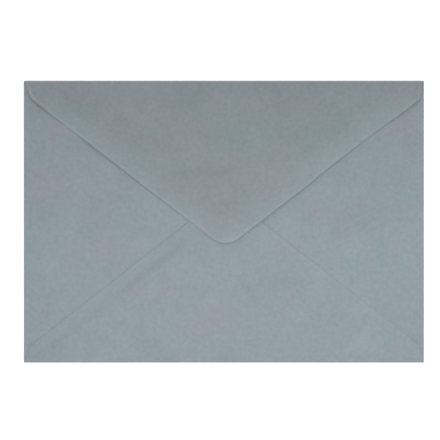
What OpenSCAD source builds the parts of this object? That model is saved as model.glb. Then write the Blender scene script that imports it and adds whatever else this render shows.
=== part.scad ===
// A pointed-flap paper envelope, folded and glued from one die-cut sheet.
// It lies on its front panel with the flaps on top: the side flaps lie over the
// front panel, the bottom flap is glued over them, and the seal flap lies last.
// The origin is under the middle of the front panel, and +Y points at the top fold.

/* [Envelope] */
// Length of the closed envelope, along its top and bottom folds
env_length = 162; // [120:1:240]
// Height of the closed envelope, from bottom fold to top fold
env_height = 114; // [96:1:170]
// Thickness of the paper
paper_t = 0.15; // [0.08:0.01:0.25]
// Space that the side folds hold open between the front panel and the side flaps
pocket_gap = 0.3; // [0.1:0.05:1]
// Space between two folds where they near each other at a corner
corner_clearance = 0.1; // [0.05:0.05:1]

/* [Seal flap] */
// Depth of the seal flap, from the top fold to its rounded tip
seal_depth = 65.6; // [50:0.1:80]
// Radius of the seal flap's tip
seal_tip_r = 9; // [3:0.5:20]
// How far down its shoulders reach before the sloping edges start
seal_shoulder_drop = 7.2; // [3:0.1:15]
// Air under the seal flap, which is folded down but not stuck
seal_air = 0.1; // [0.05:0.05:0.5]

/* [Bottom flap] */
// Depth of the bottom flap, from the bottom fold to its rounded tip
bottom_depth = 66; // [50:0.1:80]
// Radius of the bottom flap's tip
bottom_tip_r = 9; // [3:0.5:20]
// How far up its shoulders reach before the sloping edges start
bottom_shoulder_drop = 6.9; // [3:0.1:15]

/* [Side flaps] */
// Width of the glued seam where the bottom flap lies on a side flap
seam_lap = 5; // [3:0.5:12]
// Width of side flap that the seal flap's gummed edge comes down on
seal_lap = 10; // [5:0.5:15]
// Radius of each side flap's tip
side_tip_r = 9; // [3:0.5:15]
// Least space between the two side flaps, which share one layer
side_tip_gap = 4; // [1:0.5:20]

/* [Shoulders] */
// How far every flap's shoulder has drawn in from the envelope's edge at its corner
shoulder_inset = 2.3; // [1.5:0.1:4]
// Radius that rounds the shoulder's corner
shoulder_r = 3; // [1:0.5:5]

/* [Hidden] */
$fn = 64;
paper_colour = "#8e989e";

half_l = env_length / 2;
half_h = env_height / 2;

// Clear space between the front panel and each flap above it, layer by layer.
side_gap = pocket_gap;
bottom_gap = side_gap + paper_t;
seal_gap = bottom_gap + paper_t + seal_air;

// Outer radius of a half-round fold that spans a gap.
function fold_r(gap) = gap / 2 + paper_t;
side_fold_r = fold_r(side_gap);
bottom_fold_r = fold_r(bottom_gap);
seal_fold_r = fold_r(seal_gap);
envelope_t = 2 * seal_fold_r;

// A rounded corner's circle stands this far proud of the edges that it joins, so
// that it crosses them cleanly where it would otherwise only graze them.
corner_proud = 0.005;

// Where the folds end, measured in from the corner: the long folds stop short of
// the side folds, and the side folds stop short of the largest long fold.
long_fold_end = side_fold_r + corner_clearance;
side_fold_end = seal_fold_r + corner_clearance;

// Where a flap is described, u runs along its fold from the middle, and v from
// the fold's outermost line towards the flap's tip.

// Slope of the edge that leaves the shoulder's corner and touches the tip's circle.
function edge_angle(half, depth, drop, tip_r) =
    let (du = half - shoulder_inset, dv = depth - tip_r - drop)
    atan2(dv, du) + asin(tip_r / norm([du, dv]));
// Where that edge, drawn on, crosses the flap's middle line.
function apex(half, depth, drop, tip_r) =
    drop + (half - shoulder_inset) * tan(edge_angle(half, depth, drop, tip_r));

// The crossing of two lines, each given as [height at x = 0, slope].
function crossing(a, b) =
    let (x = (b[0] - a[0]) / (a[1] - b[1])) [x, a[0] + a[1] * x];

// Edges of the seal and bottom flaps on the left, as lines in x and y.
seal_angle = edge_angle(half_l, seal_depth, seal_shoulder_drop, seal_tip_r);
seal_apex = apex(half_l, seal_depth, seal_shoulder_drop, seal_tip_r);
bottom_angle = edge_angle(half_l, bottom_depth, bottom_shoulder_drop, bottom_tip_r);
bottom_apex = apex(half_l, bottom_depth, bottom_shoulder_drop, bottom_tip_r);
seal_edge = [half_h - seal_apex, -tan(seal_angle)];
bottom_edge = [bottom_apex - half_h, tan(bottom_angle)];

// A side flap's edges run parallel to them, hidden by the width of each lap.
side_upper_edge = [seal_edge[0] + seal_lap / cos(seal_angle), seal_edge[1]];
side_lower_edge = [bottom_edge[0] - seam_lap / cos(bottom_angle), bottom_edge[1]];
side_upper_shoulder = crossing(side_upper_edge, [half_h - shoulder_inset, 0]);
side_lower_shoulder = crossing(side_lower_edge, [shoulder_inset - half_h, 0]);
side_apex = crossing(side_upper_edge, side_lower_edge);

// A convex polygon with its corners rounded: radii holds one radius a corner,
// and 0 leaves that corner sharp.
module rounded_polygon(points, radii) {
    n = len(points);
    function unit(v) = v / norm(v);
    function ahead(i) = unit(points[(i + 1) % n] - points[i]);
    function behind(i) = unit(points[(i + n - 1) % n] - points[i]);
    function half_corner(i) = acos(ahead(i) * behind(i)) / 2;
    function tangent(i) = radii[i] / tan(half_corner(i));
    function centre(i) =
        points[i] + unit(ahead(i) + behind(i)) * radii[i] / sin(half_corner(i));
    polygon([
        for (i = [0 : n - 1], way = radii[i] > 0 ? [behind(i), ahead(i)] : [[0, 0]])
            points[i] + way * tangent(i)
    ]);
    for (i = [0 : n - 1])
        if (radii[i] > 0)
            translate(centre(i)) circle(r = radii[i] + corner_proud);
}

// Outline of the seal or bottom flap in u and v, with its fold on v = 0. The
// round bend, of radius bend_r, has square ends.
module pointed_outline(depth, drop, tip_r, bend_r) {
    base = half_l - long_fold_end;
    shoulder = half_l - shoulder_inset;
    rounded_polygon(
        [
            [base, 0],
            [base, bend_r],
            [shoulder, drop],
            [0, apex(half_l, depth, drop, tip_r)],
            [-shoulder, drop],
            [-base, bend_r],
            [-base, 0]
        ],
        [0, 0, shoulder_r, tip_r, shoulder_r, 0, 0]
    );
}

// Outline of the left side flap, with its fold on the envelope's left edge.
module side_outline() {
    base = half_h - side_fold_end;
    bend_end = side_fold_r - half_l;
    intersection() {
        rounded_polygon(
            [
                [-half_l, -base],
                [bend_end, -base],
                side_lower_shoulder,
                side_apex,
                side_upper_shoulder,
                [bend_end, base],
                [-half_l, base]
            ],
            [0, 0, shoulder_r, side_tip_r, shoulder_r, 0, 0]
        );
        translate([-half_l, -half_h]) square([half_l - side_tip_gap / 2, env_height]);
    }
}

// Section through a fold: a half-round bend between a short strip of the front
// panel below and a long strip of the flap above. The fold's outermost line is x = 0.
module fold_section(gap, reach) {
    r = fold_r(gap);
    panel_strip = shoulder_inset;
    translate([r, r])
        difference() {
            union() {
                circle(r = r);
                translate([0, -r]) square([reach, 2 * r]);
            }
            circle(r = gap / 2);
            translate([0, -gap / 2]) square([reach + r, gap]);
            translate([panel_strip, -2 * r]) square([reach, 2 * r]);
        }
}

// Paper folded over along a line of the given length on x = 0, reaching to +X.
module folded_strip(fold_length, gap, reach) {
    translate([0, fold_length / 2, 0])
        rotate([90, 0, 0])
            linear_extrude(fold_length) fold_section(gap, reach);
}

// Keeps what lies over an outline, through the whole thickness.
module trimmed() {
    intersection() {
        children(0);
        translate([0, 0, -paper_t])
            linear_extrude(envelope_t + 2 * paper_t) children(1);
    }
}

// The front panel: flat between the folds, and out to the corners past their ends.
module front_panel() {
    linear_extrude(paper_t) {
        translate([side_fold_r - half_l, bottom_fold_r - half_h])
            square([
                env_length - 2 * side_fold_r,
                env_height - bottom_fold_r - seal_fold_r
            ]);
        for (sx = [-1, 1], sy = [-1, 1])
            translate([
                sx * (half_l - long_fold_end / 2),
                sy * (half_h - side_fold_end / 2)
            ])
                square([long_fold_end, side_fold_end], center = true);
    }
}

module seal_flap() {
    trimmed() {
        translate([0, half_h, 0])
            rotate([0, 0, -90]) folded_strip(env_length, seal_gap, seal_depth);
        translate([0, half_h])
            mirror([0, 1])
                pointed_outline(seal_depth, seal_shoulder_drop, seal_tip_r, seal_fold_r);
    }
}

module bottom_flap() {
    trimmed() {
        translate([0, -half_h, 0])
            rotate([0, 0, 90]) folded_strip(env_length, bottom_gap, bottom_depth);
        translate([0, -half_h])
            pointed_outline(
                bottom_depth, bottom_shoulder_drop, bottom_tip_r, bottom_fold_r
            );
    }
}

module side_flap() {
    trimmed() {
        translate([-half_l, 0, 0]) folded_strip(env_height, side_gap, half_l);
        side_outline();
    }
}

module envelope() {
    color(paper_colour) {
        front_panel();
        side_flap();
        mirror([1, 0, 0]) side_flap();
        bottom_flap();
        seal_flap();
    }
}

envelope();
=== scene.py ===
# %% [markdown]
# A pointed-flap envelope is one sheet of paper. A die cuts a blank with four flaps
# out of it, the side flaps are folded in, the bottom flap is folded up and glued
# over them, and the seal flap is folded down last. Here the sheet is made the same
# way: the blank is laid out flat as a mesh with no thickness, each flap is folded
# over its crease, the layers settle on each other, and the paper gets its thickness.
# Everything is in metres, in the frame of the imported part.

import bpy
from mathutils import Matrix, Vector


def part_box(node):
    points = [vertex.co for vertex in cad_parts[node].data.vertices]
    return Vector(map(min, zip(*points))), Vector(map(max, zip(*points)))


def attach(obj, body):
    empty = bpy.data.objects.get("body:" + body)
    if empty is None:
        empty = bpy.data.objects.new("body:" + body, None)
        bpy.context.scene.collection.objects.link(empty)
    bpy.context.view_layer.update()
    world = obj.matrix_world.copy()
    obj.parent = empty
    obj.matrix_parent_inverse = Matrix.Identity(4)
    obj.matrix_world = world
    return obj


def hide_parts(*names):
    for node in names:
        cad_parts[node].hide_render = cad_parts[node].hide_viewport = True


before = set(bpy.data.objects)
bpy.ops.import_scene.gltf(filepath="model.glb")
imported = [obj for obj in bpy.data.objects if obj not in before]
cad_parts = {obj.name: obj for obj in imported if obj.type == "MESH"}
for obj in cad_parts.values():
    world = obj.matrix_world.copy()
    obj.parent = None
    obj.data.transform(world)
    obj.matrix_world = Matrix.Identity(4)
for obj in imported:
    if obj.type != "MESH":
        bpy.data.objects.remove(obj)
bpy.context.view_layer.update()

# %% [markdown]
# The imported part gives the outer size. The paper's thickness, the flaps' depths and
# the laps are the ones that the part was designed with, written here once. The drifts
# are this envelope's own: the die and the folder left both points a little right of
# the middle.

# %% Sizes
import math

import bmesh
import bpy
from mathutils import Vector, noise

MM = 0.001
low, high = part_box("envelope")
half_l = (high.x - low.x) / 2
half_h = (high.y - low.y) / 2

paper_t = 0.15 * MM
pocket_gap = 0.30 * MM
seal_air = 0.10 * MM
corner_clearance = 0.10 * MM

seal_depth, seal_tip_r, seal_drop = 65.6 * MM, 9 * MM, 7.2 * MM
bottom_depth, bottom_tip_r, bottom_drop = 66.0 * MM, 9 * MM, 6.9 * MM
seam_lap, seal_lap, side_tip_r = 5 * MM, 10 * MM, 9 * MM
shoulder_inset, shoulder_r = 2.3 * MM, 3 * MM
seal_drift, bottom_drift = 0.6 * MM, 0.5 * MM
print("envelope", round(2 * half_l / MM, 2), "by", round(2 * half_h / MM, 2), "mm")

# %% [markdown]
# A fold in paper isn't a sharp line. The sheet goes round a half circle whose size is
# set by what lies between the two layers: nothing but air at the side folds, a side
# flap as well at the bottom fold, and both flaps at the top fold. The radii are those
# of the middle of the sheet. Each crease starts one outer radius in from the edge.

# %% Folds
side_bend = (pocket_gap + paper_t) / 2
bottom_bend = (pocket_gap + 2 * paper_t) / 2
seal_bend = (pocket_gap + 3 * paper_t + seal_air) / 2

side_crease = half_l - side_bend - paper_t / 2
bottom_crease = half_h - bottom_bend - paper_t / 2
seal_crease = half_h - seal_bend - paper_t / 2

long_fold_half = side_crease - corner_clearance
side_fold_half = seal_crease - corner_clearance
for name, bend in dict(side=side_bend, bottom=bottom_bend, seal=seal_bend).items():
    print(f"{name} fold: radius {bend / MM:.3f} mm, {math.pi * bend / MM:.2f} mm of paper")

# %% [markdown]
# Outlines. A flap is drawn in u, along its fold, and v, away from the fold's outermost
# line. Its edge leaves the fold at the shoulder, turns a rounded corner, and runs
# straight until it touches the circle of the tip. Only three numbers place it: how far
# the shoulder reaches, how deep the flap is, and the radius of its tip.

# %% Outline of a pointed flap
def edge_angle(depth, drop, tip_r):
    """Slope of the straight edge that touches the tip's circle."""
    across = half_l - shoulder_inset
    rise = depth - tip_r - drop
    return math.atan2(rise, across) + math.asin(tip_r / math.hypot(across, rise))


def rounding_centre(before, corner, after, radius):
    """Centre of the circle that rounds off a corner, and how far back it touches."""
    back = (before - corner).normalized()
    ahead = (after - corner).normalized()
    half_corner = back.angle(ahead) / 2
    centre = corner + (back + ahead).normalized() * radius / math.sin(half_corner)
    return centre, radius / math.tan(half_corner)


def rounded(before, corner, after, radius, shares):
    """Points along the arc that rounds off a corner, at the given shares of it."""
    centre, reach = rounding_centre(before, corner, after, radius)
    first = corner + (before - corner).normalized() * reach - centre
    last = corner + (after - corner).normalized() * reach - centre
    start = math.atan2(first.y, first.x)
    turn = -first.angle_signed(last)
    angles = [start + turn * s for s in shares]
    return [centre + radius * Vector((math.cos(a), math.sin(a))) for a in angles]


def even_shares(steps):
    """Shares from 0 to 1 in even steps."""
    return [i / steps for i in range(steps + 1)]


seal_angle = edge_angle(seal_depth, seal_drop, seal_tip_r)
bottom_angle = edge_angle(bottom_depth, bottom_drop, bottom_tip_r)
print("seal flap's edges slope", round(math.degrees(seal_angle), 1), "degrees,",
      "bottom flap's", round(math.degrees(bottom_angle), 1))

# %% [markdown]
# The side flaps hide their sloping edges: the lower one lies under the bottom flap by
# the width of the glued seam, and the upper one lies under the seal flap by the width
# of its gummed margin. So both run parallel to the edge that covers them, and the
# corners of a side flap are where those lines cross.

# %% Corners of the flaps
def pointed_corners(depth, drop, tip_r, bend, drift):
    """Corners of the seal or bottom flap in u and v, from one end of its fold."""
    across = half_l - shoulder_inset
    apex = Vector((drift, drop + across * math.tan(edge_angle(depth, drop, tip_r))))
    outer_r = bend + paper_t / 2
    left = [Vector((-long_fold_half, outer_r)), Vector((drift - across, drop))]
    right = [Vector((drift + across, drop)), Vector((long_fold_half, outer_r))]
    return [*left, apex, *right]


def side_corners():
    """Corners of a side flap: u runs up the envelope, and v in from its edge."""
    low_slope = math.tan(bottom_angle)
    low_drop = bottom_drop - seam_lap / math.cos(bottom_angle)
    top_slope = math.tan(seal_angle)
    top_drop = seal_drop - seal_lap / math.cos(seal_angle)
    end_u = half_h - shoulder_inset
    low_v = shoulder_inset + (shoulder_inset - low_drop) / low_slope
    top_v = shoulder_inset + (shoulder_inset - top_drop) / top_slope
    apex_in = (2 * half_h - low_drop - top_drop) / (low_slope + top_slope)
    apex = Vector((low_drop + low_slope * apex_in - half_h, shoulder_inset + apex_in))
    outer_r = side_bend + paper_t / 2
    lower = [Vector((-side_fold_half, outer_r)), Vector((-end_u, low_v))]
    upper = [Vector((end_u, top_v)), Vector((side_fold_half, outer_r))]
    return [*lower, apex, *upper]


def mirrored(corners):
    """The same corners for the flap at the other end, which turns the other way."""
    return [Vector((-c.x, c.y)) for c in reversed(corners)]


side_apex = side_corners()[2]
print("a side flap's edges cross", round(side_apex.y / MM, 1), "mm in from the end")

# %% [markdown]
# Each flap is written down once: where its fold lies, which way it points when the
# blank is flat, and its corners. The cells below read everything from this list.

# %% The four flaps
class Flap:
    """One flap of the sheet: its fold, the way it points and its outline."""

    def __init__(self, outward, crease, bend, tip_r, corners):
        self.outward = Vector(outward)
        self.along = Vector((outward[1], -outward[0]))
        self.crease, self.bend, self.tip_r = crease, bend, tip_r
        self.outer_r = bend + paper_t / 2
        self.corners = corners
        self.tip_centre, _ = rounding_centre(*corners[1:4], tip_r)

    def flat_place(self, u, past_crease):
        """Place on the flat blank of a point that lies past the crease."""
        return self.along * u + self.outward * (self.crease + past_crease)

    def folded_place(self, place):
        """The u and v of a spot on the closed envelope."""
        v = self.crease + self.outer_r - place.dot(self.outward)
        return Vector((place.dot(self.along), v))


seal_corners = pointed_corners(seal_depth, seal_drop, seal_tip_r, seal_bend, seal_drift)
bottom_corners = pointed_corners(
    bottom_depth, bottom_drop, bottom_tip_r, bottom_bend, -bottom_drift)
left_side = Flap((-1, 0), side_crease, side_bend, side_tip_r, side_corners())
right_side = Flap((1, 0), side_crease, side_bend, side_tip_r, mirrored(side_corners()))
bottom = Flap((0, -1), bottom_crease, bottom_bend, bottom_tip_r, bottom_corners)
seal = Flap((0, 1), seal_crease, seal_bend, seal_tip_r, seal_corners)
flaps = dict(left_side=left_side, right_side=right_side, bottom=bottom, seal=seal)
for name, flap in flaps.items():
    print(name, "corners, mm:", [tuple(round(c / MM, 1) for c in p) for p in flap.corners])

# %% [markdown]
# Each flap becomes a grid of quads that fits its outline. Every row runs straight
# across from one sloping edge to the other and bows by its share of the tip's arc, so
# the rows near the tip follow the arc and the outermost columns follow the cut edges.
# The columns are packed towards those edges, where the paper lifts and catches light.
# Laying a plain grid over the flap and cutting it to shape would leave slivers there,
# and slivers show in the shading.

# %% Grid shares
LONG_COLUMNS = 108
SIDE_COLUMNS = 76
BEND_ROWS = 8
SHOULDER_ROWS = 4
SHOULDER_ARC_ROWS = 5
EDGE_ROWS = 56
PACKING = 0.8


def packed_shares(count):
    """Shares of the way across a flap, packed towards both of its edges."""
    return [s - PACKING * math.sin(math.tau * s) / math.tau for s in even_shares(count)]


def fold_lines(half, count):
    """Places of the columns along a fold."""
    return [half * (2 * s - 1) for s in packed_shares(count)]


long_lines = fold_lines(long_fold_half, LONG_COLUMNS)
side_lines = fold_lines(side_fold_half, SIDE_COLUMNS)
middle = LONG_COLUMNS // 2
edge_spacing = long_lines[1] - long_lines[0]
middle_spacing = long_lines[middle + 1] - long_lines[middle]
print("column spacing, mm: at the edges", round(edge_spacing / MM, 2),
      "in the middle", round(middle_spacing / MM, 2))

# %% [markdown]
# The front panel starts as one square that is cut along every column of the flaps
# above and below it and of the side flaps, so that the flaps' vertices meet its own.
# It reaches the full size only at its corners. Elsewhere the outermost strip is taken
# away, because there the sheet goes on round a fold.

# %% Front panel
CUT_SNAP = 1e-7


def cut_lines(bm, normal, places):
    """Cuts a mesh along parallel lines, given the way across them and their places."""
    for place in places:
        whole = [*bm.verts, *bm.edges, *bm.faces]
        bmesh.ops.bisect_plane(
            bm, geom=whole, dist=CUT_SNAP, plane_co=normal * place, plane_no=normal)


sheet = bmesh.new()
blank_place = sheet.verts.layers.float_vector.new("blank_place")
# The next layer marks a band along the cut edges, partly worn paper and partly painted
# highlight.
edge_wear_and_highlight = sheet.verts.layers.float.new("edge_wear_and_highlight")
fold_near = sheet.verts.layers.float.new("fold_near")
# The last layer is a painted light level: below 1 it darkens the colour as painted shade.
painted_light_level = sheet.verts.layers.float.new("painted_light_level")

bmesh.ops.create_grid(sheet, x_segments=1, y_segments=1, size=1)
bmesh.ops.scale(sheet, vec=(half_l, half_h, 1), verts=sheet.verts)
cut_lines(sheet, Vector((1, 0, 0)), [-side_crease, *long_lines, side_crease])
cut_lines(sheet, Vector((0, 1, 0)), [-bottom_crease, *side_lines, seal_crease])

in_strip = []
for face in sheet.faces:
    centre = face.calc_center_median()
    beside = abs(centre.x) > side_crease and abs(centre.y) < side_fold_half
    beyond = centre.y > seal_crease or centre.y < -bottom_crease
    if beside or (beyond and abs(centre.x) < long_fold_half):
        in_strip.append(face)
bmesh.ops.delete(sheet, geom=in_strip, context="FACES")
print("front panel:", len(sheet.faces), "quads")

# %% [markdown]
# The rows of a flap's grid end on its two sides. From the fold, a side runs up the steep
# shoulder, round the shoulder's corner, and along the sloping edge to where the tip's arc
# starts. Each row of the grid has one point on it.

# %% Sides of a flap
def sloping_edge(base, shoulder, apex, tip_start):
    """Points along one side of a flap, from its fold to the start of the tip's arc."""
    corner = rounded(base, shoulder, apex, shoulder_r, even_shares(SHOULDER_ARC_ROWS))
    steep = [base.lerp(corner[0], s) for s in even_shares(SHOULDER_ROWS)]
    slope = [corner[-1].lerp(tip_start, s) for s in even_shares(EDGE_ROWS)]
    return steep[:-1] + corner[:-1] + slope


seal_side = sloping_edge(*seal.corners[:3], seal.corners[2])
print("rows of a flap past its fold:", len(seal_side) - 1)

# %% [markdown]
# A flap's grid starts square, and each vertex is moved to its place in the outline. The
# first rows cross the strip of paper that will go round the fold, and the rest run from
# one side of the flap to the other. Once all four flaps are laid out beside the front
# panel, the blank is complete, and every vertex notes its place on it.

# %% Flaps, laid out flat
SQUARE_CM = 0.0001


def add_flap(flap, columns):
    """Adds a flap's grid to the flat blank and returns its vertices."""
    shares = packed_shares(columns)
    corners = flap.corners
    tip = rounded(*corners[1:4], flap.tip_r, shares)
    left = sloping_edge(corners[0], corners[1], corners[2], tip[0])
    right = sloping_edge(corners[4], corners[3], corners[2], tip[-1])
    last = len(left) - 1
    bend_length = math.pi * flap.bend
    grid = bmesh.ops.create_grid(
        sheet, x_segments=columns, y_segments=BEND_ROWS + last, size=1)["verts"]
    for index, vert in enumerate(grid):
        row, column = divmod(index, columns + 1)
        share = shares[column]
        past = max(0, row - BEND_ROWS)
        bow = (tip[column] - tip[0].lerp(tip[-1], share)) * (past / last) ** 2
        point = left[past].lerp(right[past], share) + bow
        past_crease = bend_length * min(row / BEND_ROWS, 1) + point.y - flap.outer_r
        vert.co.xy = flap.flat_place(point.x, past_crease)
    return grid


flap_verts = {
    "left_side": add_flap(left_side, SIDE_COLUMNS),
    "right_side": add_flap(right_side, SIDE_COLUMNS),
    "bottom": add_flap(bottom, LONG_COLUMNS),
    "seal": add_flap(seal, LONG_COLUMNS),
}
for vert in sheet.verts:
    vert[blank_place] = vert.co
flat_area = sum(face.calc_area() for face in sheet.faces)
blank_size = []
for axis in (0, 1):
    places = [vert.co[axis] for vert in sheet.verts]
    blank_size.append(round((max(places) - min(places)) / MM, 1))
print("flat blank:", blank_size, "mm,", round(flat_area / SQUARE_CM, 1), "cm2")

# %% [markdown]
# Folding. A strip of the sheet as long as half a circle wraps round each crease, and
# all that lies past it comes down flat on the other side, facing the other way. Bend
# modifiers could do that too, one flap at a time, but a few lines of Python give every
# fold its exact radius and length of paper: how far a vertex lies past the crease gives
# the angle that the sheet has turned there.

# %% Fold the flaps over
def fold_over(verts, flap):
    """Wraps a flap round its crease and lays the rest of it down over the panel."""
    outward = flap.outward.to_3d()
    bend_length = math.pi * flap.bend
    for vert in verts:
        past = vert.co.dot(outward) - flap.crease
        angle = min(past / flap.bend, math.pi)
        reach = flap.bend * math.sin(angle) - max(0, past - bend_length)
        vert.co += outward * (reach - past)
        vert.co.z = flap.bend * (1 - math.cos(angle))


for name, flap in flaps.items():
    fold_over(flap_verts[name], flap)
bmesh.ops.translate(sheet, vec=(0, 0, paper_t / 2), verts=sheet.verts)


def highest(verts):
    """Height of the highest vertex, in millimetres."""
    return round(max(vert.co.z for vert in verts) / MM, 2)


heights = {name: highest(verts) for name, verts in flap_verts.items()}
print("middle of the sheet above the table, mm:", heights)

# %% [markdown]
# Real paper doesn't lie dead flat. To shape the layers, the script has to know, for any
# spot on the envelope, how far it lies inside each flap's outline. Every flap is convex,
# so that is the least distance to its edges, or near the tip to the tip's circle.

# %% Distance inside a flap
def inside(flap, place):
    """How far a spot lies inside a folded flap's cut edges; below 0 it is outside."""
    spot = flap.folded_place(place)
    least = math.inf
    for start, end in zip(flap.corners, flap.corners[1:]):
        least = min(least, (spot - start).cross((end - start).normalized()))
    from_tip = spot - flap.tip_centre
    left_way, right_way = (flap.corners[i + 1] - flap.corners[i] for i in (1, 2))
    if from_tip.dot(left_way) > 0 and from_tip.dot(right_way) < 0:
        least = min(least, flap.tip_r - from_tip.length)
    return least


def ramp(value, low, high):
    """0 below low, 1 above high, and a smooth rise between them."""
    share = min(max((value - low) / (high - low), 0), 1)
    return share * share * (3 - 2 * share)


spots = dict(middle=Vector((0, 0)), left_end=Vector((-half_l + 10 * MM, 0)))
for spot_name, spot in spots.items():
    print(spot_name, {n: round(inside(f, spot) / MM, 1) for n, f in flaps.items()})

# %% [markdown]
# The relief. The front panel lies flat on the table. The flaps over it share one faint
# waviness, which dies out towards the folds that hold them. The side flaps have no more
# relief than that.

# %% Waviness
WAVE_HEIGHT = 0.05 * MM
WAVE_LENGTH = 22 * MM
WAVE_FADE = 18 * MM


def wave(place):
    """Height of the waviness that all the flaps share."""
    held = ramp(min(half_l - abs(place.x), half_h - abs(place.y)), 0, WAVE_FADE)
    return WAVE_HEIGHT * held * noise.noise(place.to_3d() / WAVE_LENGTH)


side_verts = [*flap_verts["left_side"], *flap_verts["right_side"]]
for vert in side_verts:
    vert.co.z += wave(vert.co.xy)
print("highest middle of the side flaps, mm:", highest(side_verts))

# %% [markdown]
# The bottom flap is glued along its edges, and just past the glued seam, where the side
# flap under it ends, it drops by nearly one thickness of paper. Outside the glue its very
# edge stands off a little, most of all at its corners and beside its point. How far it
# stands off is given at a few places along x and blends between them. The seal flap
# presses it flat again where it covers it.

# %% Relief of the bottom flap
SEAM_DROP = 0.13 * MM
SEAM_RUN = 6 * MM
SEAM_LIFTS = [
    (-79 * MM, 0.20 * MM), (-66 * MM, 0.08 * MM), (-27 * MM, 0.07 * MM),
    (-17 * MM, 0.16 * MM), (13 * MM, 0.50 * MM), (20 * MM, 0.08 * MM),
    (42 * MM, 0.04 * MM), (70 * MM, 0), (77 * MM, 0.16 * MM),
]
SEAM_CURL = 2.5 * MM
PRESS_RUN = 0.8 * MM
DROP_HOLD = 12 * MM
LIFT_HOLD = 3 * MM


def blended(table, x):
    """Value at x from a table of places and values, with smooth passages between."""
    for (x0, value0), (x1, value1) in zip(table, table[1:]):
        if x < x1:
            return value0 + (value1 - value0) * ramp(x, x0, x1)
    return table[-1][1]


def seam_rise(place):
    """Lift of the bottom flap's edge, less its drop past the side flaps' hidden edges."""
    up = place.y + half_h
    over_side = max(inside(left_side, place), inside(right_side, place))
    drop = SEAM_DROP * (1 - ramp(over_side, -SEAM_RUN, 0)) * ramp(up, 0, DROP_HOLD)
    pressed = ramp(inside(seal, place), -PRESS_RUN, PRESS_RUN)
    free = ramp(up, 0, LIFT_HOLD) * (1 - pressed)
    curl = max(0, 1 - inside(bottom, place) / SEAM_CURL) ** 2
    return blended(SEAM_LIFTS, place.x) * curl * free - drop


for vert in flap_verts["bottom"]:
    vert.co.z += wave(vert.co.xy) + seam_rise(vert.co.xy)
print("highest middle of the bottom flap, mm:", highest(flap_verts["bottom"]))

# %% [markdown]
# The seal flap isn't stuck, so its edge stands a little off the paper below, more at the
# left corner than at the tip, and it nearly touches down twice on its way along the left
# side. The gap under the edge is given at a few places and blends smoothly between them.
# From the edge it dies away inwards over a few millimetres, as in a margin that curls.
# The fold lets go of the flap at a level of its own, one thickness of paper and a little
# air above the side flaps, and the rise is counted from there.

# %% Relief of the seal flap
EDGE_GAPS = [
    (-80 * MM, 0.80 * MM), (-75 * MM, 1.60 * MM), (-69 * MM, 0.45 * MM),
    (-65 * MM, 0.04 * MM), (-61 * MM, 0.06 * MM), (-54 * MM, 1.15 * MM),
    (-45 * MM, 0.64 * MM), (-32 * MM, 0.44 * MM),
    (-12 * MM, 0.05 * MM), (0, 0.18 * MM), (26 * MM, 0.60 * MM), (48 * MM, 0.50 * MM),
    (58 * MM, 0.12 * MM), (77 * MM, 0.80 * MM),
]
INNER_GAP = 0.14 * MM
FOLD_GAP = paper_t + seal_air
CURL_RUN = 6.5 * MM
CURL_POWER = 4
LAYER_RUN = 4 * MM
CORNER_HOLD = 7 * MM


def seal_rise(place):
    """How far the seal flap stands above the level at which its fold lets go of it."""
    curl = max(0, 1 - inside(seal, place) / CURL_RUN) ** CURL_POWER
    gap = INNER_GAP + (blended(EDGE_GAPS, place.x) - INNER_GAP) * curl
    over_bottom = ramp(inside(bottom, place), -LAYER_RUN, 0)
    free = ramp(half_h - place.y, seal.outer_r, CORNER_HOLD)
    return (gap - FOLD_GAP + paper_t * over_bottom) * free


for vert in flap_verts["seal"]:
    vert.co.z += wave(vert.co.xy) + seal_rise(vert.co.xy)
print("highest middle of the seal flap, mm:", highest(flap_verts["seal"]))

# %% [markdown]
# Four values are stored on the vertices for the finish. Masks could be painted on an
# image instead, but stored values need no image and follow the flaps when a size changes.
# The place on the flat blank was taken before folding, so that the paper's grain runs on
# over the folds as it does in one sheet. The next two say how near a vertex is to a cut
# edge and to a fold. At a fold the fibres are roughed up and lighter. Along the cut edges a
# lighter band is partly worn paper and partly painted highlight, standing for the light
# that the curled margin catches. The seal flap's free edge, which is handled most and curls
# most, gets the strongest band, above all at its left corner, where it stands up. The band
# lies just inside the cut, where the curled margin bends most, and starts a little way from
# the fold.

# %% Worn and painted-highlight edges, and folds
# The band along the cut edges is partly worn paper and partly painted highlight, standing
# for light caught by the curled margins.
FLAP_WEAR_AND_HIGHLIGHT = 0.08
SEAL_WEAR_AND_HIGHLIGHT = [(-78 * MM, 0.9), (-66 * MM, 0.36)]
WEAR_AND_HIGHLIGHT_BAND = [(0, 0.25), (0.8 * MM, 1), (1.6 * MM, 0)]
WEAR_AND_HIGHLIGHT_START = 4.5 * MM
FOLD_BAND = 1.5 * MM

for name, flap in flaps.items():
    for vert in flap_verts[name]:
        wear_and_highlight = blended(SEAL_WEAR_AND_HIGHLIGHT, vert.co.x) if name == "seal" else FLAP_WEAR_AND_HIGHLIGHT
        off_fold = ramp(half_h - abs(vert.co.y), 0, WEAR_AND_HIGHLIGHT_START)
        vert[edge_wear_and_highlight] = wear_and_highlight * off_fold * blended(WEAR_AND_HIGHLIGHT_BAND, inside(flap, vert.co.xy))
for vert in sheet.verts:
    to_end = half_l - abs(vert.co.x)
    to_top = half_h - abs(vert.co.y)
    vert[fold_near] = 1 - ramp(min(to_end, to_top), 0, FOLD_BAND)
print("strongest wear:", round(max(vert[edge_wear_and_highlight] for vert in sheet.verts), 2))

# %% [markdown]
# The fourth value is a painted light level. Where it falls below 1 the colour is darkened
# as painted shade: in the middle of the seal flap and near its fold, so that its margin
# comes out lighter as painted light where it curls, and in a thin wedge of painted shadow
# under the bottom flap, from where its left seam's glue stops to just past the side flap's
# hidden edge. To the left of the seal flap's tip the margin gets less of this painted
# light.

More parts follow.
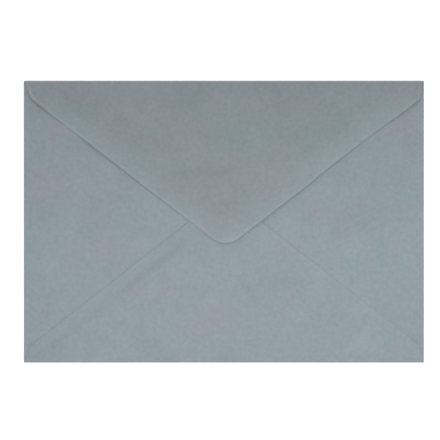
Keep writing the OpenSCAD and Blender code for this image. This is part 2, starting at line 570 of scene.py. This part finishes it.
# %% Painted shade and margin light
# Painted shade: the level stored below is under 1 in the middle of the seal flap, near its
# fold, and in a wedge beside the bottom flap's left seam.
PAINTED_LIGHT_FULL = 1.5 * MM
PAINTED_LIGHT_NONE = 12 * MM
PAINTED_LIGHT_BELOW_FOLD = 16 * MM
MARGIN_LIGHT_SHARES = [(-36 * MM, 1), (-26 * MM, 0.5), (-9 * MM, 0.5), (1 * MM, 1)]
# A wedge of painted shadow beside the bottom flap's left seam, just past the side flap's
# hidden edge.
SHADE_WEDGE_START = 1.8 * MM
SHADE_WEDGE_WIDTH = 5.4 * MM
SHADE_WEDGE_SHARES = [
    (-75 * MM, 0.3), (-45 * MM, 0.4), (-28 * MM, 0.95), (-20 * MM, 0.8), (-13 * MM, 0.1),
]


def hump(share):
    """0 at both ends, and a smooth rise to 1 in the middle."""
    return ramp(share, 0, 0.5) * ramp(share, 1, 0.5)


def seal_painted_light(place):
    """1 on the margin, and 0, full painted shade, in the middle of the flap and at its
    fold.
    """
    near_edge = 1 - ramp(inside(seal, place), PAINTED_LIGHT_FULL, PAINTED_LIGHT_NONE)
    below_fold = ramp(half_h - place.y, 0, PAINTED_LIGHT_BELOW_FOLD)
    return near_edge * below_fold * blended(MARGIN_LIGHT_SHARES, place.x)


def bottom_painted_light(place):
    """1 all over, less a wedge of painted shadow beside the left seam."""
    across = (SHADE_WEDGE_START - inside(left_side, place)) / SHADE_WEDGE_WIDTH
    return 1 - blended(SHADE_WEDGE_SHARES, place.x) * hump(across)


for vert in sheet.verts:
    vert[painted_light_level] = 1
for vert in flap_verts["seal"]:
    vert[painted_light_level] = seal_painted_light(vert.co.xy)
for vert in flap_verts["bottom"]:
    vert[painted_light_level] = bottom_painted_light(vert.co.xy)
least_painted_light = min(vert[painted_light_level] for vert in flap_verts["bottom"])
print("least backing of the bottom flap:", round(least_painted_light, 2))

# %% [markdown]
# Seen from above, the seal flap's edge isn't quite straight: it wanders in and out, by
# half a millimetre on the right and less on the left. So its margin is drawn in or let
# out a little, most at the very edge and not at all at the fold. This comes after the
# marks, which then keep to the edge.

# %% Wandering edge
EDGE_DRAWS = [
    (-78 * MM, 0.12 * MM), (-73 * MM, 0.06 * MM), (-68 * MM, -0.17 * MM), (-60 * MM, 0),
    (33 * MM, 0), (43 * MM, 0.40 * MM), (50 * MM, 0.48 * MM), (65 * MM, 0.27 * MM),
    (70 * MM, -0.08 * MM), (79 * MM, -0.23 * MM),
]
PROBE = 0.01 * MM


def inward(flap, place):
    """The way that leads straight in from a flap's nearest cut edge."""
    ways = (Vector((PROBE, 0)), Vector((0, PROBE)))
    slope = [inside(flap, place + way) - inside(flap, place - way) for way in ways]
    return Vector(slope).normalized()


def drawn_in(place):
    """How far the seal flap's margin is drawn in at a spot."""
    margin = max(0, 1 - inside(seal, place) / CURL_RUN)
    free = ramp(half_h - place.y, seal.outer_r, CORNER_HOLD)
    return blended(EDGE_DRAWS, place.x) * margin ** 2 * free


for vert in flap_verts["seal"]:
    place = vert.co.xy
    draw = drawn_in(place)
    if draw:
        vert.co.xy = place + inward(seal, place) * draw
draws = [round(draw / MM, 2) for _, draw in EDGE_DRAWS]
print("edge drawn in by", min(draws), "to", max(draws), "mm")

# %% [markdown]
# Now the flaps are sewn to the front panel where their first rows meet its creases, and
# the sheet becomes an object. Its two faces could have been folded one by one, but they
# have to stay one thickness apart all round every bend, and a Solidify modifier sees to
# that. It puts half the paper to each side of the middle surface, and the cut edges in a
# material slot of their own.

# %% Thickness
SEW_REACH = 2e-6
SHARP = math.radians(45)
bmesh.ops.remove_doubles(sheet, verts=sheet.verts, dist=SEW_REACH)
bmesh.ops.recalc_face_normals(sheet, faces=sheet.faces)
for face in sheet.faces:
    face.smooth = True
mesh = bpy.data.meshes.new("folded_envelope")
sheet.to_mesh(mesh)
sheet.free()
envelope = bpy.data.objects.new("folded_envelope", mesh)
bpy.context.scene.collection.objects.link(envelope)

wall = envelope.modifiers.new("paper", "SOLIDIFY")
wall.thickness = paper_t
wall.offset = 0
wall.use_even_offset = True
wall.material_offset_rim = 1
solid = bpy.data.meshes.new_from_object(
    envelope.evaluated_get(bpy.context.evaluated_depsgraph_get()))
envelope.modifiers.clear()
envelope.data = solid
solid.name = "folded_envelope"
bpy.data.meshes.remove(mesh)
solid.set_sharp_from_angle(angle=SHARP)
print("envelope mesh:", len(solid.polygons), "faces,", len(solid.vertices), "vertices")

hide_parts("envelope")
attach(envelope, "root")

# %% [markdown]
# The finish. Uncoated dyed paper is never one flat colour: fibres clump as the sheet
# forms, so it is faintly cloudy at every scale, from single fibres to patches as wide as
# a finger, and the dye takes a little greener here and redder there, in patches and in
# wider drifts. One node group makes that grain for both the face of the sheet and its cut
# edge. It reads the place on the flat blank, not the place in space.

# %% Node group for the grain
paper_grain = bpy.data.node_groups.new("paper_grain", "ShaderNodeTree")
grain_sizes = ("Fibre Size", "Cloud Size", "Patch Size", "Dye Size")
grain_results = ("Tone", "Tint", "Height")
for title in grain_sizes:
    paper_grain.interface.new_socket(title, in_out="INPUT", socket_type="NodeSocketFloat")
for title in grain_results:
    paper_grain.interface.new_socket(title, in_out="OUTPUT", socket_type="NodeSocketFloat")

sizes = paper_grain.nodes.new("NodeGroupInput")
result = paper_grain.nodes.new("NodeGroupOutput")
on_blank = paper_grain.nodes.new("ShaderNodeAttribute")
on_blank.attribute_name = "blank_place"
print("the grain takes", grain_sizes, "and gives", grain_results)

# %% [markdown]
# Noise makes every part of the grain. Its scale counts blobs to the metre, so it is one
# over a blob's width. Fibres and clouds are mixed, and patches are mixed in with them,
# for the tone. One colour channel of the patches and the wide drifts give the tint, and
# the fibres alone give the height. The seeds pick one sheet out of the many that the same
# noise could give.

# %% Noise of the grain
CLOUD_SHARE = 0.6
PATCH_SHARE = 0.4
DYE_SHARE = 0.22
PATCH_SEED, DYE_SEED = 21.3, 6.9


def speckle(size_title, detail, roughness=0.5, distortion=0.0, seed=0.0):
    """Noise whose blobs are as wide as the size of that title: its value and colour."""
    texture = paper_grain.nodes.new("ShaderNodeTexNoise")
    texture.noise_dimensions = "4D"
    texture.inputs["W"].default_value = seed
    texture.inputs["Detail"].default_value = detail
    texture.inputs["Roughness"].default_value = roughness
    texture.inputs["Distortion"].default_value = distortion
    paper_grain.links.new(on_blank.outputs["Vector"], texture.inputs["Vector"])
    per_metre = paper_grain.nodes.new("ShaderNodeMath")
    per_metre.operation = "DIVIDE"
    per_metre.inputs[0].default_value = 1
    paper_grain.links.new(sizes.outputs[size_title], per_metre.inputs[1])
    paper_grain.links.new(per_metre.outputs[0], texture.inputs["Scale"])
    return texture.outputs["Fac"], texture.outputs["Color"]


def blend(first, second, share):
    """Two values mixed, with the given share of the second."""
    mixed = paper_grain.nodes.new("ShaderNodeMix")
    mixed.inputs["Factor"].default_value = share
    paper_grain.links.new(first, mixed.inputs["A"])
    paper_grain.links.new(second, mixed.inputs["B"])
    return mixed.outputs["Result"]


fibres, _ = speckle("Fibre Size", detail=4, distortion=1.2)
clouds, _ = speckle("Cloud Size", detail=3)
patches, patch_colours = speckle("Patch Size", detail=5, roughness=0.7, seed=PATCH_SEED)
channels = paper_grain.nodes.new("ShaderNodeSeparateColor")
paper_grain.links.new(patch_colours, channels.inputs["Color"])
dye, _ = speckle("Dye Size", detail=0, seed=DYE_SEED)

tone = blend(blend(fibres, clouds, CLOUD_SHARE), patches, PATCH_SHARE)
tint = blend(channels.outputs["Blue"], dye, DYE_SHARE)
for title, value in zip(grain_results, (tone, tint, fibres)):
    paper_grain.links.new(value, result.inputs[title])
print("node group:", paper_grain.name, "with", len(paper_grain.nodes), "nodes")

# %% [markdown]
# The face of the sheet is a matt blue-grey, and the grain moves its tone and its tint a
# little to either side. Painted shade darkens it a little where the stored painted light
# level is low. Folds look lighter, because the crease roughs up the fibres there, and the
# band along the cut edges is lighter from worn paper and from painted highlight. Each of
# these is a mix of two colours, so mixing gets a helper, and so does reading a stored
# value.

# %% Colours of the paper
FACE_LOW, FACE_HIGH = (0.168, 0.197, 0.219, 1), (0.364, 0.423, 0.461, 1)
GREENER, REDDER = (0.81, 1.045, 0.975, 1), (1.19, 0.955, 1.025, 1)
# This tint is painted shade, multiplied in where the painted light level is low.
PAINTED_SHADE_TINT, UNSHADED_TINT = (0.92, 0.905, 0.895, 1), (1, 1, 1, 1)
# A lighter colour for roughed folds and for the cut-edge band of worn paper and painted
# highlight.
ROUGHED_AND_HIGHLIGHT = (0.36, 0.40, 0.43, 1)
# A Mix node has a set of sockets for each kind of data; these are the ones for colours.
MIX_FACTOR, MIX_FIRST, MIX_SECOND, MIX_RESULT = 0, 6, 7, 2


def mix_colour(tree, factor, first, second, blend_type="MIX"):
    """Mixes two colours; each is a constant or another node's output."""
    node = tree.nodes.new("ShaderNodeMix")
    node.data_type = "RGBA"
    node.blend_type = blend_type
    for index, value in ((MIX_FACTOR, factor), (MIX_FIRST, first), (MIX_SECOND, second)):
        if isinstance(value, bpy.types.NodeSocket):
            tree.links.new(value, node.inputs[index])
        else:
            node.inputs[index].default_value = value
    return node.outputs[MIX_RESULT]


def mark(tree, name, strength):
    """A value stored on the vertices, scaled so that 1 becomes the given strength."""
    attribute = tree.nodes.new("ShaderNodeAttribute")
    attribute.attribute_name = name
    scaled = tree.nodes.new("ShaderNodeMapRange")
    scaled.inputs["To Max"].default_value = strength
    tree.links.new(attribute.outputs["Fac"], scaled.inputs["Value"])
    return scaled.outputs["Result"]


print("paper from", FACE_LOW[:3], "to", FACE_HIGH[:3])

# %% [markdown]
# The face and the cut edge are two materials made by one function. Both are matt, with a
# faint sheen, and the grain's height gives them a fine tooth that scatters the light. At
# the cut the fibres are finer and stand up more, and the band of worn paper and painted
# highlight shows more strongly.

# %% Materials
# The second and third strengths are for the band of worn paper and painted highlight along
# the cut edges.
FOLD_ROUGHING, FACE_WEAR_AND_HIGHLIGHT, CUT_WEAR_AND_HIGHLIGHT = 0.12, 0.6, 1.0
CLOUD_SIZE, PATCH_SIZE, DYE_SIZE = 1.8 * MM, 14 * MM, 30 * MM
FACE_FIBRE, FACE_TOOTH = 0.45 * MM, 0.02 * MM
CUT_FIBRE, CUT_TOOTH = 0.12 * MM, 0.03 * MM
TOOTH_STRENGTH = 0.5
MATT = 0.92
FAINT_SHEEN = 0.25


def paper_material(name, fibre_size, tooth, wear_and_highlight_strength):
    """Paper with the given fibre size and tooth, lighter by so much in the band of worn
    paper and painted highlight.
    """
    material = bpy.data.materials.new(name)
    material.use_nodes = True
    tree = material.node_tree
    shader = tree.nodes["Principled BSDF"]
    shader.inputs["Roughness"].default_value = MATT
    shader.inputs["Specular IOR Level"].default_value = FAINT_SHEEN

    grain = tree.nodes.new("ShaderNodeGroup")
    grain.node_tree = paper_grain
    for title, size in zip(grain_sizes, (fibre_size, CLOUD_SIZE, PATCH_SIZE, DYE_SIZE)):
        grain.inputs[title].default_value = size
    colour = mix_colour(tree, grain.outputs["Tone"], FACE_LOW, FACE_HIGH)
    tint = mix_colour(tree, grain.outputs["Tint"], GREENER, REDDER)
    colour = mix_colour(tree, 1.0, colour, tint, "MULTIPLY")
    # Painted shade, darkest where the stored painted light level is 0.
    painted_shade = mix_colour(tree, mark(tree, "painted_light_level", 1), PAINTED_SHADE_TINT, UNSHADED_TINT)
    colour = mix_colour(tree, 1.0, colour, painted_shade, "MULTIPLY")
    colour = mix_colour(tree, mark(tree, "fold_near", FOLD_ROUGHING), colour, ROUGHED_AND_HIGHLIGHT)
    # The band along the cut edges: worn paper and painted highlight.
    colour = mix_colour(tree, mark(tree, "edge_wear_and_highlight", wear_and_highlight_strength), colour, ROUGHED_AND_HIGHLIGHT)
    tree.links.new(colour, shader.inputs["Base Color"])

    bump = tree.nodes.new("ShaderNodeBump")
    bump.inputs["Distance"].default_value = tooth
    bump.inputs["Strength"].default_value = TOOTH_STRENGTH
    tree.links.new(grain.outputs["Height"], bump.inputs["Height"])
    tree.links.new(bump.outputs["Normal"], shader.inputs["Normal"])
    return material


solid.materials.append(paper_material("paper_face", FACE_FIBRE, FACE_TOOTH, FACE_WEAR_AND_HIGHLIGHT))
solid.materials.append(paper_material("paper_cut_edge", CUT_FIBRE, CUT_TOOTH, CUT_WEAR_AND_HIGHLIGHT))
print("materials:", [material.name for material in solid.materials])

# %% [markdown]
# The camera looks straight down, as the photograph does. It stands a little to the left
# of the middle and a little nearer the top fold, which puts the envelope low and right in
# the frame.

# %% Camera
LENS, SENSOR = 85, 36
FRAME_WIDTH = 177.9 * MM
LEFT_OF_MIDDLE, ABOVE_MIDDLE = 1.56 * MM, 0.72 * MM
camera_height = high.z + FRAME_WIDTH * LENS / SENSOR
camera_data = bpy.data.cameras.new("camera")
camera_data.lens = LENS
camera_data.sensor_width = SENSOR
camera = bpy.data.objects.new("camera", camera_data)
camera.location = (-LEFT_OF_MIDDLE, ABOVE_MIDDLE, camera_height)
bpy.context.scene.collection.objects.link(camera)
bpy.context.scene.camera = camera
print("camera height:", round(camera_height, 3), "m")

# %% [markdown]
# The floor is plain and pale, and lies a hair below the envelope, so that no two faces
# share a plane. Its own light is seen by the camera and by reflections only, so it reaches
# white there without lighting the envelope, and it still takes the envelope's shadow.

# %% Floor
FLOOR_SIZE = 3
FLOOR_DROP = 0.02 * MM
FLOOR_COLOUR = 0.8
FLOOR_LIFT = 0.42


def seen_directly(tree):
    """1 for rays that come from the camera, a reflection or through glass."""
    path = tree.nodes.new("ShaderNodeLightPath")
    total = path.outputs["Is Camera Ray"]
    for title in ("Is Glossy Ray", "Is Transmission Ray"):
        larger = tree.nodes.new("ShaderNodeMath")
        larger.operation = "MAXIMUM"
        tree.links.new(total, larger.inputs[0])
        tree.links.new(path.outputs[title], larger.inputs[1])
        total = larger.outputs[0]
    return total


plane = bmesh.new()
bmesh.ops.create_grid(plane, x_segments=1, y_segments=1, size=FLOOR_SIZE / 2)
bmesh.ops.translate(plane, vec=(0, 0, -FLOOR_DROP), verts=plane.verts)
floor_mesh = bpy.data.meshes.new("floor")
plane.to_mesh(floor_mesh)
plane.free()
floor = bpy.data.objects.new("floor", floor_mesh)
bpy.context.scene.collection.objects.link(floor)

floor_paint = bpy.data.materials.new("floor")
floor_paint.use_nodes = True
tree = floor_paint.node_tree
paint = tree.nodes["Principled BSDF"]
paint.inputs["Base Color"].default_value = (FLOOR_COLOUR, FLOOR_COLOUR, FLOOR_COLOUR, 1)
paint.inputs["Roughness"].default_value = 1
paint.inputs["Specular IOR Level"].default_value = 0
lift = tree.nodes.new("ShaderNodeMath")
lift.operation = "MULTIPLY"
lift.inputs[1].default_value = FLOOR_LIFT
tree.links.new(seen_directly(tree), lift.inputs[0])
paint.inputs["Emission Color"].default_value = (1, 1, 1, 1)
tree.links.new(lift.outputs[0], paint.inputs["Emission Strength"])
floor_mesh.materials.append(floor_paint)
print("floor:", FLOOR_SIZE, "m square,", FLOOR_DROP / MM, "mm below the envelope")

# %% [markdown]
# The room round it is an even white dome. Seen directly it is full white, and what it
# throws on the envelope is weaker, so that the paper's colour comes out about as written.

# %% World
DOME = 0.533
world = bpy.data.worlds.new("studio")
bpy.context.scene.world = world
world.use_nodes = True
tree = world.node_tree
dome = tree.nodes["Background"]
dome.inputs["Color"].default_value = (1, 1, 1, 1)
brightness = tree.nodes.new("ShaderNodeMapRange")
brightness.inputs["To Min"].default_value = DOME
brightness.inputs["To Max"].default_value = 1
tree.links.new(seen_directly(tree), brightness.inputs["Value"])
tree.links.new(brightness.outputs["Result"], dome.inputs["Strength"])
print("dome lights with a strength of", DOME)

# %% [markdown]
# Two lamps add direction to the even light of the room: a weak soft sun from the upper
# left, which picks out the folds and the curled margins, and a long softbox overhead. The
# softbox hangs low, nearer the bottom fold and the right end, so the light falls off
# towards the top fold. It is hidden from the camera, which would look down on its back.

# %% Lamps
KEY_PLACE, KEY_STRENGTH, KEY_SPREAD = (-0.35, 0.8, 0.55), 0.55, math.radians(40)
SOFTBOX_PLACE, SOFTBOX_POWER = (80 * MM, -35 * MM, 150 * MM), 0.237
SOFTBOX_LENGTH, SOFTBOX_WIDTH = 500 * MM, 30 * MM


def add_lamp(name, kind, place, strength):
    """Adds a lamp of one kind at a place, and returns it."""
    data = bpy.data.lights.new(name, kind)
    data.energy = strength
    lamp = bpy.data.objects.new(name, data)
    lamp.location = place
    bpy.context.scene.collection.objects.link(lamp)
    return lamp


key = add_lamp("key", "SUN", KEY_PLACE, KEY_STRENGTH)
key.data.angle = KEY_SPREAD
key.rotation_euler = key.location.to_track_quat("Z", "Y").to_euler()

softbox = add_lamp("softbox", "AREA", SOFTBOX_PLACE, SOFTBOX_POWER)
softbox.data.shape = "RECTANGLE"
softbox.data.size = SOFTBOX_LENGTH
softbox.data.size_y = SOFTBOX_WIDTH
softbox.visible_camera = False
print("lamps:", [f"{lamp.name} {lamp.data.energy:.3f}" for lamp in (key, softbox)])

# %% Finish
bpy.context.scene.view_settings.view_transform = "Standard"
